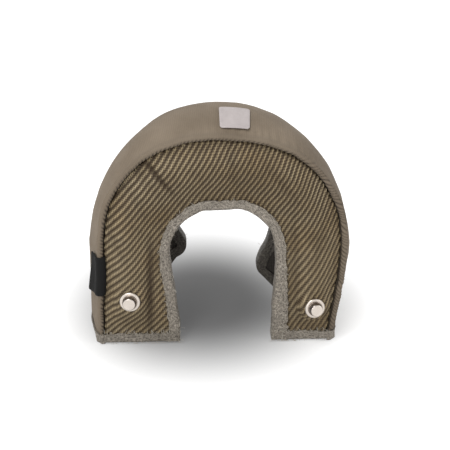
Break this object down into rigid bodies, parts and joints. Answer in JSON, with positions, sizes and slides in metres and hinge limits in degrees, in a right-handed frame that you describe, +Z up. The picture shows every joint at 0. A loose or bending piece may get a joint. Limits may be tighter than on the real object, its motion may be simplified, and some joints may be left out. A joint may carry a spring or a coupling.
{
  "type": "turbo heat blanket",
  "caption": "Horseshoe-shaped quilted heat blanket for a turbine housing, twill-woven cover over insulation, mesh-bound edges and steel lacing studs.",
  "frame": {"origin": "on the floor, under the middle of the whole blanket", "axes": "+X to the right seen from the front, -Y out of the front wall, +Z up"},
  "size_m": [0.1916, 0.093, 0.1701],
  "materials": {
    "woven_cover": "coarse twill of basalt yarn, tan ridges over dark furrows, slight sheen",
    "rim_cloth": "fine dense twill, matt taupe",
    "insulation": "needled ceramic felt, off-white, matt",
    "liner_cloth": "plain woven glass cloth, charcoal, matt",
    "mesh_tape": "knitted metal and glass mesh, grey, dull glint",
    "tag_cloth": "black woven ribbon, bare",
    "patch_cloth": "white coated cloth, bare",
    "stud_steel": "polished stainless steel"
  },
  "bodies": {
    "root": {"front_cover": "woven_cover", "rear_cover": "woven_cover", "rim_cover": "rim_cloth", "front_insulation": "insulation", "rear_insulation": "insulation", "rim_insulation": "insulation", "front_liner": "liner_cloth", "rear_liner": "liner_cloth", "rim_liner": "liner_cloth", "front_edge_tape": "mesh_tape", "rear_edge_tape": "mesh_tape", "left_foot_tape": "mesh_tape", "right_foot_tape": "mesh_tape", "side_tag": "tag_cloth", "top_patch": "patch_cloth", "front_left_rivet_flange": "stud_steel", "front_left_rivet_button": "stud_steel", "front_left_rivet_backing_washer": "stud_steel", "front_right_rivet_flange": "stud_steel", "front_right_rivet_button": "stud_steel", "front_right_rivet_backing_washer": "stud_steel", "rear_left_rivet_flange": "stud_steel", "rear_left_rivet_button": "stud_steel", "rear_left_rivet_backing_washer": "stud_steel", "rear_right_rivet_flange": "stud_steel", "rear_right_rivet_button": "stud_steel", "rear_right_rivet_backing_washer": "stud_steel"}
  },
  "joints": []
}
